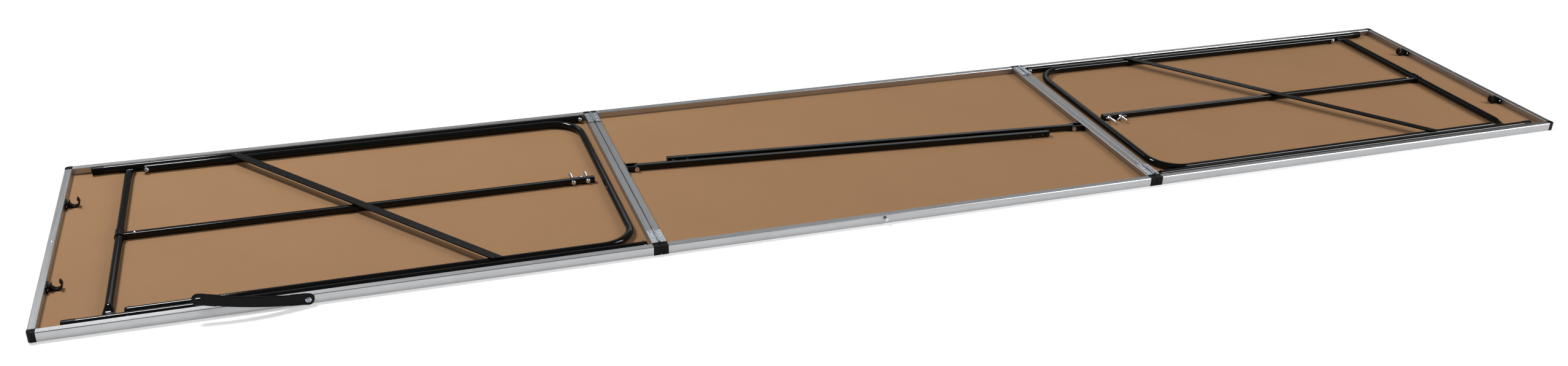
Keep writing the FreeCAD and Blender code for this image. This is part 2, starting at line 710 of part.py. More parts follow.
# Bar brackets: two cheeks on a plate fixed to the middle section's cross rail
CHEEK_Y = ("strut_size/2 + cheek_gap", "strut_size/2 + cheek_gap + cheek_thickness")
cheek = cut(
    fuse(box(("0 - 2*bar_pivot_gap", "0"), CHEEK_Y, ("0 - cheek_radius", "cheek_radius")),
         rod("y", "cheek_radius", CHEEK_Y, "0", "0")),
    rod("y", "bolt_radius", ("0", "2*strut_size"), "0", "0"))
RAIL_FACE = MIDDLE_LEFT_X + " + rail_width"
plate = box(
    (RAIL_FACE, RAIL_FACE + " + bracket_plate"),
    ("bar_pivot_y - bracket_width/2", "bar_pivot_y + bracket_width/2"),
    ("strut_z - cheek_radius", "strut_z + cheek_radius"))
behind = box(
    (RAIL_FACE + " - 3*bar_pivot_gap", RAIL_FACE), ("0 - inner_y", "inner_y"), ("0", "2*rail_height"))
bracket = node("left_bar_bracket", fuse(plate, cut(moved(pair(cheek), *BAR_PLACE), behind)))
node("right_bar_bracket", turned(bracket))
BAR_OUTER = CHEEK_Y[1]
BAR_INNER = "0 - (" + BAR_OUTER + ")"
bar_bolt = fuse(
    hexagon((BAR_INNER + " - bar_head_height", BAR_INNER), "0", "0", "bar_head_radius"),
    rod("y", "bolt_radius", (BAR_INNER, BAR_OUTER), "0", "0"),
    hexagon((BAR_OUTER, BAR_OUTER + " + bar_head_height"), "0", "0", "bar_head_radius"))
left_bar_bolt = moved(bar_bolt, *BAR_PLACE)
node("bar_bolts", group(left_bar_bolt, turned(left_bar_bolt)))

# Flat hinges at the left joint: leaves on the rail tops, the left leaf has the middle knuckle
FLAT_X = "0 - joint_offset"
HINGE_FAR = "hinge_near_y + hinge_length"
LEAF_Z = ("rail_height", "leaf_top")
hinge_span = ("hinge_near_y", HINGE_FAR)
inner_third = ("hinge_near_y + hinge_length/3 + hinge_gap", "hinge_near_y + 2*hinge_length/3 - hinge_gap")
near_third = ("hinge_near_y", "hinge_near_y + hinge_length/3")
far_third = ("hinge_near_y + 2*hinge_length/3", HINGE_FAR)


def leaf(plate, bridge, thirds, axis, radius, bore):
    """Leaf on a rail top: a plate, and in each of the thirds named a bridge and a knuckle."""
    parts = [box(plate[0], hinge_span, plate[1])]
    for third in thirds:
        parts.append(box(bridge[0], third, bridge[1]))
        parts.append(rod("y", radius, third, *axis))
    return cut(fuse(*parts), rod("y", bore, hinge_span, *axis))


FLAT_AXIS = (FLAT_X, "flat_axis_z")
PIN_RUN = "pin_radius + running_clearance"
left_leaf = leaf(
    ((LEFT_JOINT_X + " - rail_width + leaf_margin", FLAT_X + " - leaf_setback"), LEAF_Z),
    ((FLAT_X + " - leaf_setback", FLAT_X), LEAF_Z), [inner_third], FLAT_AXIS, "knuckle_radius", PIN_RUN)
node("left_hinge_leaves", pair(left_leaf))
middle_leaf = leaf(
    ((FLAT_X + " + leaf_setback", MIDDLE_LEFT_X + " + rail_width - leaf_margin"), LEAF_Z),
    ((FLAT_X, FLAT_X + " + leaf_setback"), LEAF_Z), [near_third, far_third],
    FLAT_AXIS, "knuckle_radius", "pin_radius")
node("flat_hinge_leaves", pair(middle_leaf))
node("flat_hinge_pins", pair(rod("y", "pin_radius", hinge_span, *FLAT_AXIS)))

# Barrel hinges at the right joint: thicker knuckles, just beyond the joint on the right rail's edge
BARREL_AXIS = ("barrel_x", "barrel_z")
LIFTED_Z = ("rail_height + barrel_lift", "leaf_top + barrel_lift")
BASE_END = MIDDLE_RIGHT_X + " - leaf_margin"
base_leaf = leaf(
    ((MIDDLE_RIGHT_X + " - rail_width + leaf_margin", BASE_END), ("rail_height", LIFTED_Z[1])),
    ((BASE_END, "barrel_x"), LIFTED_Z), [near_third, far_third], BARREL_AXIS, "barrel_radius", "pin_radius")
node("barrel_hinge_leaves", pair(base_leaf))
RIGHT_LEAF_X = "barrel_x + barrel_radius + barrel_gap"
right_leaf = leaf(
    ((RIGHT_LEAF_X, "joint_offset + joint_gap/2 + rail_width - leaf_margin"), LEAF_Z),
    (("barrel_x", RIGHT_LEAF_X), LEAF_Z), [inner_third], BARREL_AXIS, "barrel_radius", PIN_RUN)
node("right_hinge_leaves", pair(right_leaf))
node("barrel_hinge_pins", pair(rod("y", "pin_radius", hinge_span, *BARREL_AXIS)))

# Carry handle: bowed strap on one screw, with an eye at the free end for the stud
MIDPOINT = "handle_spacing/2"
BOW_Y = FRONT_Y + " - handle_bow + bow_radius"
strap_z = ("0 - handle_width/2", "handle_width/2")
pad_y = (FRONT_Y + " - handle_thickness", FRONT_Y)
bow = common(
    cut(rod("z", "bow_radius + handle_thickness", strap_z, MIDPOINT, BOW_Y),
        rod("z", "bow_radius", strap_z, MIDPOINT, BOW_Y)),
    box((MIDPOINT + " - bow_half", MIDPOINT + " + bow_half"),
        (FRONT_Y + " - 2*handle_bow", FRONT_Y), strap_z))
through = (FRONT_Y + " - 2*handle_bow", FRONT_Y)
pads = [rod("y", "handle_width/2", pad_y, spot, "0") for spot in ("0", "handle_spacing")]
strap = cut(
    fuse(bow, *pads), rod("y", "handle_screw_radius + running_clearance", through, "0", "0"),
    rod("y", "eye_radius", through, "handle_spacing", "0"))
node("carry_handle", moved(strap, Y_AXIS, SIZES["handle_tilt"] - 180, HANDLE_X, "0", "handle_z"))
HANDLE_FACE = FRONT_Y + " - handle_thickness"
head_span = (HANDLE_FACE + " - handle_head_height", HANDLE_FACE)
node("handle_screw", fuse(
    rod("y", "handle_screw_radius", (HANDLE_FACE, FRONT_Y + " + rail_wall"), HANDLE_X, "handle_z"),
    rod("y", "handle_head_radius", head_span, HANDLE_X, "handle_z")))
STUD_FACE = FRONT_Y + " - handle_thickness - stud_clearance"
node("latch_stud", fuse(
    rod("y", "stud_radius", (STUD_FACE, FRONT_Y + " + rail_wall"), STUD_X, "handle_z"),
    rod("y", "stud_head_radius", (STUD_FACE + " - stud_head_height", STUD_FACE), STUD_X, "handle_z")))

# Check every object, then write one file per node
document.recompute()
for item in document.Objects:
    if "Invalid" in item.State or "Error" in item.State:
        raise RuntimeError(f"{item.Label} did not recompute: {item.State}")
os.makedirs("parts", exist_ok=True)
for item in nodes:
    shape = item.Shape
    if shape.isNull() or not shape.isValid() or not shape.Solids:
        raise RuntimeError(f"{item.Label} has no valid solid")
    written = shape.Solids[0] if len(shape.Solids) == 1 else Part.makeCompound(shape.Solids)
    written.exportStep(f"parts/{item.Label}.step")
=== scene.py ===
import math

import bmesh
import bpy
import numpy as np
from mathutils import Matrix


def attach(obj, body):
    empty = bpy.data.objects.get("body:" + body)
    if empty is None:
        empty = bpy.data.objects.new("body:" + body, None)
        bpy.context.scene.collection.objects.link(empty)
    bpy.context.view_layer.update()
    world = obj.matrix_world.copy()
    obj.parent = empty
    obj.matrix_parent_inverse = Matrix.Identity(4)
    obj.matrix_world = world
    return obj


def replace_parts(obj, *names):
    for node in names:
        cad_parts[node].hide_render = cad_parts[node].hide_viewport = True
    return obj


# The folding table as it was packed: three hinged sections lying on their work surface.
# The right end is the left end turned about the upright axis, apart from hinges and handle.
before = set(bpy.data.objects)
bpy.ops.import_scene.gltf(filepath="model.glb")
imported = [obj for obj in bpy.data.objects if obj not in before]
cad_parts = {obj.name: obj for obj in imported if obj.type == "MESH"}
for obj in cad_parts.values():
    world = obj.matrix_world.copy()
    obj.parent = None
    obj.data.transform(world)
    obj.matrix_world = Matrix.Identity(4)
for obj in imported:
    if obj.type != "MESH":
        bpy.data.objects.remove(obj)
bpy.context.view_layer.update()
scene = bpy.context.scene
SECTIONS = ("left", "middle", "right")
ENDS = ("left", "right")
TURN = {"left": np.array((1, 1, 1)), "right": np.array((-1, -1, 1))}
UP = (0, 0, 1)

# Boards: raw tan fibreboard, one sheet per section, slid into the rails' grooves.
# Pressed wood fibre, matt, with a fine felted mottle and faint cloudy patches.
NOISE_RANGE = (0.32, 0.68)


def shader(name, colour, metallic, roughness, **sockets):
    """New material with the shader's own sockets set; underscores stand for spaces."""
    material = bpy.data.materials.new(name)
    material.use_nodes = True
    principled = material.node_tree.nodes["Principled BSDF"]
    principled.inputs["Base Color"].default_value = (*colour, 1)
    principled.inputs["Metallic"].default_value = metallic
    principled.inputs["Roughness"].default_value = roughness
    for socket, value in sockets.items():
        principled.inputs[socket.replace("_", " ")].default_value = value
    return material


def grain(material, size, stretch=(1, 1, 1), detail=3.0):
    """Noise over the object's own coordinates; size is a spot's width in metres."""
    nodes, links = material.node_tree.nodes, material.node_tree.links
    place = nodes.new("ShaderNodeTexCoord")
    mapping = nodes.new("ShaderNodeMapping")
    mapping.inputs["Scale"].default_value = stretch
    noise = nodes.new("ShaderNodeTexNoise")
    noise.inputs["Scale"].default_value = 1 / size
    noise.inputs["Detail"].default_value = detail
    links.new(place.outputs["Object"], mapping.inputs["Vector"])
    links.new(mapping.outputs["Vector"], noise.inputs["Vector"])
    return noise.outputs["Fac"]


def shade(material, value, low, high):
    """Spread the noise's middle range evenly between two numbers or two colours."""
    nodes, links = material.node_tree.nodes, material.node_tree.links
    if isinstance(low, tuple):
        node = nodes.new("ShaderNodeValToRGB")
        for stop, position, colour in zip(node.color_ramp.elements, NOISE_RANGE, (low, high)):
            stop.position = position
            stop.color = (*colour, 1)
        links.new(value, node.inputs["Fac"])
        return node.outputs["Color"]
    node = nodes.new("ShaderNodeMapRange")
    for socket, number in zip(("From Min", "From Max", "To Min", "To Max"), (*NOISE_RANGE, low, high)):
        node.inputs[socket].default_value = number
    links.new(value, node.inputs["Value"])
    return node.outputs["Result"]


def multiply(material, first, second):
    """Product of two colours."""
    nodes, links = material.node_tree.nodes, material.node_tree.links
    node = nodes.new("ShaderNodeMix")
    node.data_type = "RGBA"
    node.blend_type = "MULTIPLY"
    node.inputs["Factor"].default_value = 1
    links.new(first, node.inputs["A"])
    links.new(second, node.inputs["B"])
    return node.outputs["Result"]


def feed(material, socket, value):
    """Link a value to a socket of the shader."""
    material.node_tree.links.new(value, material.node_tree.nodes["Principled BSDF"].inputs[socket])


def relief(material, height, depth):
    """Bump of the given depth in metres."""
    node = material.node_tree.nodes.new("ShaderNodeBump")
    node.inputs["Strength"].default_value = 1
    node.inputs["Distance"].default_value = depth
    material.node_tree.links.new(height, node.inputs["Height"])
    feed(material, "Normal", node.outputs["Normal"])


def dress(material, *names):
    """Give CAD nodes a finish."""
    for name in names:
        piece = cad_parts[name]
        piece.data.materials.clear()
        piece.data.materials.append(material)


fibreboard = shader("fibreboard", (0.337, 0.195, 0.105), 0, 0.72, Specular_IOR_Level=0.12)
fibres = shade(fibreboard, grain(fibreboard, 0.0014, stretch=(0.8, 1, 1), detail=4),
               (0.300, 0.168, 0.082), (0.350, 0.200, 0.102))
clouds = shade(fibreboard, grain(fibreboard, 0.16), (0.965, 0.96, 0.955), (1.0, 1.0, 1.0))
feed(fibreboard, "Base Color", multiply(fibreboard, fibres, clouds))
feed(fibreboard, "Roughness", shade(fibreboard, grain(fibreboard, 0.004), 0.64, 0.78))
relief(fibreboard, grain(fibreboard, 0.0012), depth=0.00004)
dress(fibreboard, *[f"{section}_board" for section in SECTIONS])


# Rails: mill-finish aluminium extrusions with a groove for the board.
# Fine die lines run the length of each rail, so cross rails get theirs turned, in a darker copy that is
# painted shade.
def toned(colour, share):
    """The same colour, darker or lighter."""
    return tuple(min(1, part * share) for part in colour)


def mill_finish(name, stretch, tone):
    """Bare aluminium with lines drawn out along the axis of the small stretch; a tone below 1 is painted
    shade.
    """
    metal = shader(name, (0.47, 0.475, 0.485), 1, 0.34)
    lines = grain(metal, 0.0007, stretch=stretch, detail=2)
    patches = grain(metal, 0.035, detail=2)
    feed(metal, "Base Color", multiply(
        metal, shade(metal, lines, (0.44, 0.445, 0.455), (0.52, 0.525, 0.535)),
        shade(metal, patches, toned((0.95, 0.955, 0.96), tone), toned((1, 1, 1), tone))))
    feed(metal, "Roughness", shade(metal, lines, 0.30, 0.42))
    relief(metal, lines, depth=0.00012)
    return metal


rail_lengthwise = mill_finish("aluminium_lengthwise", stretch=(0.004, 1, 1), tone=1.0)
# The cross rails' tone of 0.87 is painted shade on the same metal, not a different finish.
rail_crosswise_shaded = mill_finish("aluminium_crosswise_shaded", stretch=(1, 0.004, 1), tone=0.87)
dress(rail_lengthwise, *[f"{section}_{side}_rail" for section in SECTIONS for side in ("front", "back")])
dress(rail_crosswise_shaded, "middle_left_rail", "middle_right_rail",
      *[f"{end}_{side}_rail" for end in ENDS for side in ("end", "joint")])


# Corner pieces: black moulded plastic, pushed into the rails' ends by tongues.
# A faint spark-eroded grain that is a little shinier in places.
def moulded(name, colour, roughness):
    """Plastic with a speckled gloss and a slightly uneven tone."""
    plastic = shader(name, colour, 0, roughness, Specular_IOR_Level=0.1)
    speckle = grain(plastic, 0.0009, detail=2)
    feed(plastic, "Roughness", shade(plastic, speckle, roughness - 0.05, roughness + 0.08))
    feed(plastic, "Base Color", shade(
        plastic, grain(plastic, 0.02), toned(colour, 0.85), toned(colour, 1.2)))
    relief(plastic, speckle, depth=0.00003)
    return plastic


black_plastic = moulded("black_plastic", (0.0042, 0.0042, 0.0046), roughness=0.32)
dress(black_plastic, "middle_corners",
      *[f"{end}_{kind}_corners" for end in ENDS for kind in ("end", "joint")])


# Hinges: pressed zinc-plated steel leaves on the rail tops, flat at the left joint
# and rolled round a thicker barrel at the right joint, each pair turning on a pin.
def plated(name, colour, roughness):
    """Zinc with a cloudy bloom in colour and gloss."""
    zinc = shader(name, colour, 1, roughness)
    bloom = grain(zinc, 0.006, detail=4)
    feed(zinc, "Base Color", shade(zinc, bloom, toned(colour, 0.86), toned(colour, 1.1)))
    feed(zinc, "Roughness", shade(zinc, grain(zinc, 0.0025), roughness - 0.07, roughness + 0.1))
    relief(zinc, grain(zinc, 0.0008), depth=0.00002)
    return zinc


zinc_plate = plated("zinc_plate", (0.56, 0.61, 0.67), roughness=0.24)
dress(zinc_plate, "flat_hinge_leaves", "flat_hinge_pins", "barrel_hinge_leaves", "barrel_hinge_pins",
      *[f"{end}_hinge_leaves" for end in ENDS])


# Hinge screws: bright countersunk cross-head screws that hold every leaf down on its rail.
# The heads stand only half a millimetre proud, so the leaves still close on each other.
def turned(radius, height, place, axis):
    """Round body about an axis through a place: radius and height are given per row and angle."""
    radius, height = np.broadcast_arrays(radius, height)
    angle = np.arange(radius.shape[1]) * 2 * np.pi / radius.shape[1]
    axis = np.array(axis, float)
    first = np.cross(axis, UP if abs(axis[2]) < 0.9 else (1, 0, 0))
    first /= np.linalg.norm(first)
    second = np.cross(axis, first)
    return (np.array(place) + (radius * np.cos(angle))[..., None] * first
            + (radius * np.sin(angle))[..., None] * second + height[..., None] * axis)


def surface(name, grids, sheets=()):
    """One mesh over grids of points that close round their columns, and over open sheets of points."""
    corners, faces, start = [], [], 0
    for grid, closed in [(grid, True) for grid in grids] + [(sheet, False) for sheet in sheets]:
        rows, columns = grid.shape[:2]
        index = start + np.arange(rows * columns).reshape(rows, columns)
        if closed:
            index = np.column_stack((index, index[:, 0]))
        quads = (index[:-1, :-1], index[:-1, 1:], index[1:, 1:], index[1:, :-1])
        faces.append(np.stack(quads, -1).reshape(-1, 4))
        corners.append(grid.reshape(-1, 3))
        start += rows * columns
    mesh = bpy.data.meshes.new(name)
    mesh.from_pydata(np.vstack(corners).tolist(), [], np.vstack(faces).tolist())
    work = bmesh.new()
    work.from_mesh(mesh)
    bmesh.ops.remove_doubles(work, verts=work.verts, dist=1e-6)
    bmesh.ops.recalc_face_normals(work, faces=work.faces)
    work.to_mesh(mesh)
    work.free()
    return mesh


def place_piece(name, mesh, finish, body, sharp):
    """One object over a mesh, smooth up to the sharp angle in degrees, riding on a body."""
    mesh.shade_smooth()
    mesh.set_sharp_from_angle(angle=math.radians(sharp))
    mesh.materials.clear()
    mesh.materials.append(finish)
    piece = bpy.data.objects.new(name, mesh)
    scene.collection.objects.link(piece)
    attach(piece, body)
    return piece


def skin(name, grids, finish, body, sharp=40, sheets=()):
    """One object over grids and sheets of points."""
    return place_piece(name, surface(name, grids, sheets), finish, body, sharp)


# The cross recess of a screw, in shares of the head's radius and rise.
ARM_HALF, ARM_SIDE, ARM_REACH, ARM_END, RECESS = 0.17, 0.06, 0.62, 0.1, 0.8


def cross_head(place, axis, reach, rise, foot):
    """Screw head: a low dome h = rise(1 - (r/reach)^2), less a cross-shaped recess, on a round foot."""
    angle = np.arange(48) * np.pi / 24
    span = np.concatenate((np.linspace(0, 1, 13), (1, 0)))[:, None]
    across = np.abs(span * np.cos(angle))
    along = np.abs(span * np.sin(angle))
    arm = (np.clip((ARM_HALF - np.minimum(across, along)) / ARM_SIDE, 0, 1)
           * np.clip((ARM_REACH - np.maximum(across, along)) / ARM_END, 0, 1))
    height = rise * (1 - span ** 2) - RECESS * rise * arm
    height[-2:] = -foot
    return turned(reach * span, height, place, axis)


bright_screw = plated("bright_screw", (0.80, 0.82, 0.84), roughness=0.2)
SCREW_REACH, SCREW_RISE, SCREW_FOOT = 0.0026, 0.00055, 0.0006
LEAF_TOP, BASE_TOP = 0.0185, 0.0189
LEAF_SCREW_Y = (0.2475, 0.2645, 0.2815, -0.2475, -0.2645, -0.2815)


def leaf_screws(name, body, x, z):
    """Three screws in each of the two leaves on a rail."""
    skin(name, [cross_head((x, y, z), UP, SCREW_REACH, SCREW_RISE, SCREW_FOOT) for y in LEAF_SCREW_Y],
         bright_screw, body)


leaf_screws("left_flat_screws", "left_section", x=-0.5082, z=LEAF_TOP)
leaf_screws("middle_flat_screws", "middle_section", x=-0.4918, z=LEAF_TOP)
leaf_screws("middle_barrel_screws", "middle_section", x=0.4928, z=BASE_TOP)
leaf_screws("right_barrel_screws", "right_section", x=0.5093, z=LEAF_TOP)


# Leg frames, props and diagonals: steel tube in gloss black enamel, and flat steel in a more satin
# coat, on plated bolts. The enamel has a slight orange peel and lies thinner in places.
def enamelled(name, smooth, dull, gloss):
    """Black paint whose roughness drifts between smooth and dull."""
    paint = shader(name, (0.002, 0.0022, 0.0026), 0, smooth, Specular_IOR_Level=gloss)
    feed(paint, "Base Color", shade(
        paint, grain(paint, 0.05), (0.0016, 0.0018, 0.0022), (0.003, 0.003, 0.0032)))
    feed(paint, "Roughness", shade(paint, grain(paint, 0.012), smooth, dull))
    relief(paint, grain(paint, 0.0016, detail=1), depth=0.000015)
    return paint


enamel = enamelled("black_enamel", smooth=0.05, dull=0.10, gloss=0.26)
satin_enamel = enamelled("satin_enamel", smooth=0.24, dull=0.34, gloss=0.13)
for end in ENDS:
    dress(enamel, *[f"{end}_{piece}" for piece in ("leg_tubes", "prop_tube", "bar_bracket")])
    dress(satin_enamel, f"{end}_diagonal_bar")
    dress(zinc_plate, f"{end}_leg_bolts", f"{end}_frame_bolts")
dress(zinc_plate, "bar_bolts", "latch_stud")


# Cross tubes: round steel tube between the two legs of a frame, enamelled black.
# Both ends are pinched flat in a press, which spreads them, and meet the legs' inner sides.
def ease(value):
    """Smooth step from 0 to 1: 3v^2 - 2v^3."""
    value = np.clip(value, 0, 1)
    return value * value * (3 - 2 * value)


CROSS_X, CROSS_Z, CROSS_HALF, CROSS_RADIUS = 1.387, 0.013, 0.2718, 0.007
PINCH_RUN, PINCH_FLAT, PINCH_WIDE, PINCH_THIN, PINCH_Z = 0.019, 0.0085, 0.0095, 0.0016, 0.0112
EDGE_START, EDGE_STOP, EDGE_SHRINK = 0.0008, 0.0002, (0.93, 0.8, 0)


def pinched_tube():
    """Ellipse carried along Y: its half axes go from the radius to wide and thin over the pinch."""
    start, stop = CROSS_HALF - PINCH_FLAT - PINCH_RUN, CROSS_HALF - PINCH_FLAT
    y = np.concatenate((np.linspace(0, start, 12), start + PINCH_RUN * np.linspace(0, 1, 25)[1:],
                        np.linspace(stop, CROSS_HALF - EDGE_START, 4)[1:],
                        (CROSS_HALF - EDGE_STOP, CROSS_HALF, CROSS_HALF)))
    pinch = ease((y - start) / PINCH_RUN)
    shrink = np.ones_like(y)
    shrink[-3:] = EDGE_SHRINK
    y, pinch, shrink = (np.concatenate((side * line[:0:-1], line))
                        for line, side in ((y, -1), (pinch, 1), (shrink, 1)))
    angle = np.arange(40) * np.pi / 20
    wide = (CROSS_RADIUS + (PINCH_WIDE - CROSS_RADIUS) * pinch) * shrink
    thin = (CROSS_RADIUS + (PINCH_THIN - CROSS_RADIUS) * pinch) * shrink
    x = wide[:, None] * np.cos(angle)
    z = (CROSS_Z + (PINCH_Z - CROSS_Z) * pinch)[:, None] + thin[:, None] * np.sin(angle)
    return np.stack((x, np.broadcast_to(y[:, None], x.shape), z), -1)


for end in ENDS:
    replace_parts(skin(f"{end}_pinched_cross_tube", [pinched_tube() - (TURN[end][0] * CROSS_X, 0, 0)],
                     enamel, f"{end}_leg", sharp=50), f"{end}_cross_tube")

# Struts: square steel tube drawn with well rounded edges, enamelled black and closed at the free end.
# The other end is welded to a sleeve that turns on the cross tube.
TUBE_HALF, STRUT_EDGE, BOLT_Z = 0.006, 0.0030, 0.0103
STRUT_START, STRUT_END = -1.3795, -0.554
CAP_EASE, CAP_SHRINK = 0.0005, 0.92
SLEEVE_BORE, SLEEVE_RADIUS, SLEEVE_HALF = 0.0071, 0.0086, 0.012


def square_tube(along, tall, small, radius):
    """Rounded square carried along its axis, with arcs of the radius about its corners.

    At each station tall scales the height and small the whole section, to round or close an end.
    """
    turn = np.linspace(0, np.pi / 2, 7)
    y, z = (TUBE_HALF - radius) + radius * np.stack((np.cos(turn), np.sin(turn)))
    y, z = np.concatenate((y, -z, -y, z)), np.concatenate((z, y, -z, -y))
    along, tall, small = (np.array(line, float)[:, None] for line in (along, tall, small))
    return np.stack(np.broadcast_arrays(along, small * y, small * tall * z), -1)


def lathe(radius, height, place, axis, sides):
    """Body of revolution with one radius and height per row."""
    return turned(np.tile(np.array(radius)[:, None], sides), np.array(height)[:, None], place, axis)


def flat_sided(piece):
    """Keep the flat sides' shading flat beside the rounded edges."""
    piece.modifiers.new("flat_sides", "WEIGHTED_NORMAL").keep_sharp = True
    return piece


sleeve_radius = (SLEEVE_BORE, SLEEVE_RADIUS - CAP_EASE, SLEEVE_RADIUS, SLEEVE_RADIUS,
                 SLEEVE_RADIUS - CAP_EASE, SLEEVE_BORE, SLEEVE_BORE)
sleeve_height = (-SLEEVE_HALF, -SLEEVE_HALF, CAP_EASE - SLEEVE_HALF, SLEEVE_HALF - CAP_EASE,
                 SLEEVE_HALF, SLEEVE_HALF, -SLEEVE_HALF)
for end in ENDS:
    tube = square_tube((STRUT_START, STRUT_START, STRUT_END - CAP_EASE, STRUT_END, STRUT_END),
                       (1, 1, 1, 1, 1), (0, 1, 1, CAP_SHRINK, 0), STRUT_EDGE) + (0, 0, BOLT_Z)
    sleeve = lathe(sleeve_radius, sleeve_height, TURN[end] * (-CROSS_X, 0, CROSS_Z), (0, 1, 0), 40)
    strut = skin(f"{end}_drawn_strut", [tube * TURN[end], sleeve], enamel, f"{end}_strut")
    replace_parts(flat_sided(strut), f"{end}_strut_tube")


# Brace bars: the same square tube, with a round pivot end in the bracket on the middle section.
# Two plain holes are drilled near the free end for the bolts of the opposite strut.
def drilled(mesh, cutter):
    """Difference of two closed meshes."""
    blank, drill = bpy.data.objects.new("blank", mesh), bpy.data.objects.new("drill", cutter)
    scene.collection.objects.link(blank)
    scene.collection.objects.link(drill)
    holes = blank.modifiers.new("holes", "BOOLEAN")
    holes.operation, holes.solver, holes.object = "DIFFERENCE", "EXACT", drill
    done = bpy.data.meshes.new_from_object(blank.evaluated_get(bpy.context.evaluated_depsgraph_get()))
    bpy.data.objects.remove(blank)
    bpy.data.objects.remove(drill)
    return done


BAR_LONG, BAR_EDGE, BAR_PIVOT = 0.868, 0.0026, (-0.465, 0.028, BOLT_Z)
BAR_SLEW = math.atan2(0.082951, 0.996554)
HOLE_RADIUS, HOLE_BACK, DRILL_REACH = 0.0032, (0.013, 0.041), 0.01
bar_line = np.array((math.cos(BAR_SLEW), -math.sin(BAR_SLEW), 0))
bar_side = np.array((math.sin(BAR_SLEW), math.cos(BAR_SLEW), 0))
round_end = np.linspace(0, np.pi / 2, 9)[1:]
bar_along = np.concatenate((-TUBE_HALF * np.cos(round_end[:1]), -TUBE_HALF * np.cos(round_end),
                            (BAR_LONG - CAP_EASE, BAR_LONG, BAR_LONG)))
bar_tall = np.concatenate((np.sin(round_end[:1]), np.sin(round_end), (1, 1, 1)))
bar_small = np.concatenate(((0,), np.ones(9), (CAP_SHRINK, 0)))
for end in ENDS:
    local = square_tube(bar_along, bar_tall, bar_small, BAR_EDGE)
    blank = BAR_PIVOT + local[..., :1] * bar_line + local[..., 1:2] * bar_side + local[..., 2:] * UP
    drills = [lathe((0, HOLE_RADIUS, HOLE_RADIUS, 0), (-DRILL_REACH, -DRILL_REACH, DRILL_REACH, DRILL_REACH),
                    BAR_PIVOT + (BAR_LONG - back) * bar_line, bar_side, 28) for back in HOLE_BACK]
    bar_mesh = drilled(surface(f"{end}_bar_blank", [blank * TURN[end]]),
                       surface(f"{end}_bar_drills", [drill * TURN[end] for drill in drills]))
    bar = place_piece(f"{end}_drawn_bar", bar_mesh, enamel, f"{end}_bar", sharp=40)
    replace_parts(flat_sided(bar), f"{end}_bar")

# Leg feet: black moulded caps pushed over the ends of the leg tubes.
# The closed end is rounded off and the rim stands slightly proud of the tube.
LEG_Y, TUBE_Z, FOOT_X = 0.279, 0.0119, -1.432
FOOT_RADIUS, FOOT_ROUND, FOOT_LENGTH, FOOT_RIM = 0.0076, 0.0024, 0.0215, 0.0003


def foot_cap(end, y):
    """Round profile about the leg's axis: a rounded end, a straight wall and a bevelled, closed rim."""
    turn = np.linspace(0, np.pi / 2, 6)
    radius = np.concatenate(((0,), FOOT_RADIUS - FOOT_ROUND + FOOT_ROUND * np.sin(turn),
                             (FOOT_RADIUS, FOOT_RADIUS - FOOT_RIM, 0)))
    height = np.concatenate(((FOOT_LENGTH,), FOOT_LENGTH - FOOT_ROUND + FOOT_ROUND * np.cos(turn),
                             (FOOT_RIM, 0, 0)))
    return lathe(radius, height, TURN[end] * (FOOT_X, y, TUBE_Z), TURN[end] * (-1, 0, 0), 36)


for end in ENDS:
    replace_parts(skin(f"{end}_foot_caps", [foot_cap(end, y) for y in (LEG_Y, -LEG_Y)],
                     black_plastic, f"{end}_leg"), f"{end}_leg_feet")

# Tube clips: black moulded spring clips on the end rails, open towards the top.
# Each is held by two bright cross-head screws through its flange.
CLIP_Y, FLANGE_FACE, FLANGE_Z, FLANGE_PITCH, CLIP_SCREW_RISE = 0.150, 1.4845, 0.0104, 0.0083, 0.0010
for end in ENDS:
    dress(black_plastic, f"{end}_tube_clips")
    places = [(-FLANGE_FACE, clip_y + side * FLANGE_PITCH, FLANGE_Z)
              for clip_y in (-CLIP_Y, CLIP_Y) for side in (-1, 1)]
    skin(f"{end}_clip_screws", [
        cross_head(TURN[end] * place, TURN[end] * (1, 0, 0), SCREW_REACH, CLIP_SCREW_RISE, SCREW_FOOT)
        for place in places], bright_screw, f"{end}_section")


# Rivets: black-painted round heads through the ends of the diagonals, one bare rivet in the middle
# of each end rail, and one on top of each strut where its sleeve's tongue is fixed inside.
def rivet(place, reach, rise, foot=0.0005):
    """Upright rivet head: r = reach sin t, h = rise cos t for a quarter turn, closed by a flat foot."""
    turn = np.linspace(0, np.pi / 2, 7)
    radius = np.concatenate((reach * np.sin(turn), (reach, 0)))
    height = np.concatenate((rise * np.cos(turn), (-foot, -foot)))
    return lathe(radius, height, place, UP, 24)


DIAGONAL_ENDS = ((-1.196, 0.264, 0.0214), (-0.782, -0.264, 0.0214))
RAIL_MIDDLE, STRUT_TONGUE = (-1.4935, 0, 0.017), (-1.363, 0, 0.0163)
for end in ENDS:
    skin(f"{end}_diagonal_rivets",
         [rivet(TURN[end] * place, reach=0.0038, rise=0.0016) for place in DIAGONAL_ENDS],
         enamel, f"{end}_prop")
    skin(f"{end}_rail_rivet", [rivet(TURN[end] * RAIL_MIDDLE, reach=0.0026, rise=0.0010)],
         bright_screw, f"{end}_section")
    skin(f"{end}_strut_rivet", [rivet(TURN[end] * STRUT_TONGUE, reach=0.0024, rise=0.0012)],
         bright_screw, f"{end}_strut")

# Strut bolts and wing nuts: bright zinc coach bolts with domed heads and rolled threads,
# pushed through the strut's end from the front, each with a cast wing nut behind.
HEAD_REACH, HEAD_RISE, SHANK, BOLT_LENGTH, PITCH = 0.0048, 0.0034, 0.003, 0.038, 0.001
THREAD_DEPTH, TIP_SHARE, TIP_SLOPE = 0.6 * PITCH, 0.72, 12


